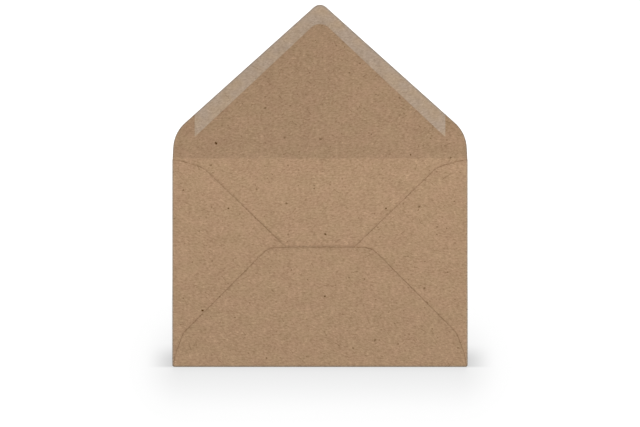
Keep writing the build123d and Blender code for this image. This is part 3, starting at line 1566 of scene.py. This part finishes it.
@dataclass(frozen=True)
class SoftLight:
    """A rectangular lamp with a soft cover, aimed at the envelope."""

    name: str
    share: float
    azimuth: float
    elevation: float
    distance: float
    width: float
    height: float

    def build(self) -> None:
        """Hang the lamp, out of the camera's sight."""
        light = bpy.data.lights.new(self.name, "AREA")
        light.shape = "RECTANGLE"
        light.size = self.width
        light.size_y = self.height
        light.energy = self.share * math.pi**2 * self.distance**2 / math.sin(self.elevation)
        lamp = put_in_scene(self.name, light)
        level = self.distance * math.cos(self.elevation)
        lamp.location = (
            level * math.sin(self.azimuth),
            level * math.cos(self.azimuth),
            self.distance * math.sin(self.elevation),
        )
        lamp.rotation_mode = "QUATERNION"
        lamp.rotation_quaternion = lamp.location.to_track_quat("Z", "Y")
        lamp.visible_camera = False


@dataclass(frozen=True)
class Studio:
    """Pale floor with a painted soft shadow round the envelope's bottom edge, soft light and a camera
    straight above the envelope.
    """

    floor_half_size: float = 4.0
    floor_drop: float = 0.05 * MM
    floor_colour: float = 0.12
    floor_glow: float = 1.11
    # painted shadow on the floor, below the envelope's bottom edge and beside its two bottom corners
    glow_dip: float = 0.190
    glow_end: float = 46.0 * MM
    shade_darkness: float = 0.152
    shade_from: tuple[float, float] = (75.0 * MM, -57.0 * MM)
    shade_start: float = -2.0 * MM
    shade_end: float = 28.5 * MM
    shade_rise: float = 0.85
    corner_darkness: float = 0.26
    corner_from: float = 81.0 * MM
    corner_reach: float = 15.5 * MM
    corner_inset: float = -4.0 * MM
    corner_height: float = 13.5 * MM
    corner_full: float = 3.5 * MM
    corner_foot: tuple[float, float] = (-0.7 * MM, 0.6 * MM)
    cover_side: float = 80.0 * MM
    cover_inset: float = 1.0 * MM
    cover_blur: float = 1.0 * MM
    dome_strength: float = 0.335
    lamps: tuple[SoftLight, ...] = (
        SoftLight("key", 0.64, math.radians(8), math.radians(14), 1.1, 1.1, 0.44),
        SoftLight("fill", 0.20, math.pi, math.radians(45), 1.9, 1.4, 1.30),
    )
    camera_lens: float = 200.0
    camera_sensor: float = 36.0
    camera_distance: float = 1950.6 * MM
    camera_up: float = 27.15 * MM
    camera_clip: tuple[float, float] = (0.1, 20.0)

    def build(self) -> None:
        """Set up the floor, the light and the camera."""
        bpy.context.scene.view_settings.view_transform = "Standard"
        self.floor()
        self.dome()
        for lamp in self.lamps:
            lamp.build()
        self.camera()
        log.info("studio is set")

    def floor(self) -> bpy.types.Object:
        """Lay the pale floor, which can be looked through from below.

        Returns:
            The floor.
        """
        reach = self.floor_half_size
        corners = [(-reach, -reach), (reach, -reach), (reach, reach), (-reach, reach)]
        mesh = bpy.data.meshes.new("floor")
        mesh.from_pydata([(x, y, -self.floor_drop) for x, y in corners], [], [(0, 1, 2, 3)])
        paint, bench = start_material("pale_floor")
        # the painted shadow dims both the floor's colour and its glow
        bright = self._painted_shadow(bench)
        grey = bright * self.floor_colour
        inputs = bench.shader.inputs
        bench.feed(inputs["Base Color"], bench.vector(grey, grey, grey))
        inputs["Roughness"].default_value = 1.0
        inputs["Specular IOR Level"].default_value = 0.0
        inputs["Emission Color"].default_value = WHITE
        bench.feed(inputs["Emission Strength"], bright * self.floor_glow)
        below = bench.wire(bench.node("ShaderNodeNewGeometry"), "Backfacing")
        clear = bench.wire(bench.node("ShaderNodeBsdfTransparent"))
        mixed = bench.node("ShaderNodeMixShader", {0: below, 1: bench.wire(bench.shader), 2: clear})
        bench.feed(bench.tree.nodes["Material Output"].inputs["Surface"], bench.wire(mixed))
        mesh.materials.append(paint)
        return put_in_scene("floor", mesh)

    def _painted_shadow(self, bench: Bench) -> Wire:
        """Paint a soft shadow on the floor around the envelope's bottom edge.

        Args:
            bench: The floor material's tree.

        Returns:
            1 far away and under the envelope, less near its bottom edge, and least beside
            its two bottom corners.
        """
        x, y, _ = bench.split(bench.wire(bench.node("ShaderNodeTexCoord"), "Object"))
        aside = (x.size() - self.shade_from[0]).at_least(0.0)
        above = y - self.shade_from[1]
        away = (above * self.shade_rise).at_least(0.0 - above)
        far = bench.length(aside, away)
        dip = 1.0 - bench.ramp(far, self.glow_end, self.shade_end) * self.glow_dip
        near = bench.ramp(far, self.shade_end, self.shade_start)
        corner = bench.ramp(x.size() - self.corner_from, self.corner_reach, self.corner_inset)
        corner = corner * bench.ramp(above, self.corner_height, self.corner_full)
        corner = corner * bench.ramp(above, *self.corner_foot)
        shade = dip * (1.0 - near * self.shade_darkness) * (1.0 - corner * self.corner_darkness)
        covered = bench.ramp(x.size(), self.cover_side, self.cover_side - self.cover_blur)
        covered = covered * bench.ramp(above, self.cover_inset, self.cover_inset + self.cover_blur)
        return shade + (1.0 - shade) * covered

    def dome(self) -> None:
        """Even white light from all round."""
        world = bpy.data.worlds.new("dome")
        world.use_nodes = True
        background = world.node_tree.nodes["Background"]
        background.inputs["Color"].default_value = WHITE
        background.inputs["Strength"].default_value = self.dome_strength
        bpy.context.scene.world = world

    def camera(self) -> None:
        """A long lens that looks straight down on the back."""
        data = bpy.data.cameras.new("camera")
        data.lens = self.camera_lens
        data.sensor_width = self.camera_sensor
        data.clip_start, data.clip_end = self.camera_clip
        camera = put_in_scene("camera", data)
        camera.location = (0, self.camera_up, self.camera_distance)
        bpy.context.scene.camera = camera


def main() -> None:
    """Set up the studio and build the envelope."""
    logging.basicConfig(level=logging.INFO, format="%(name)s: %(message)s")
    Studio().build()
    pieces = Envelope(Blank.from_frame(FoldedSheet.node)).build()
    log.info("%d pieces", len(pieces))


if __name__ == "__main__":
    main()
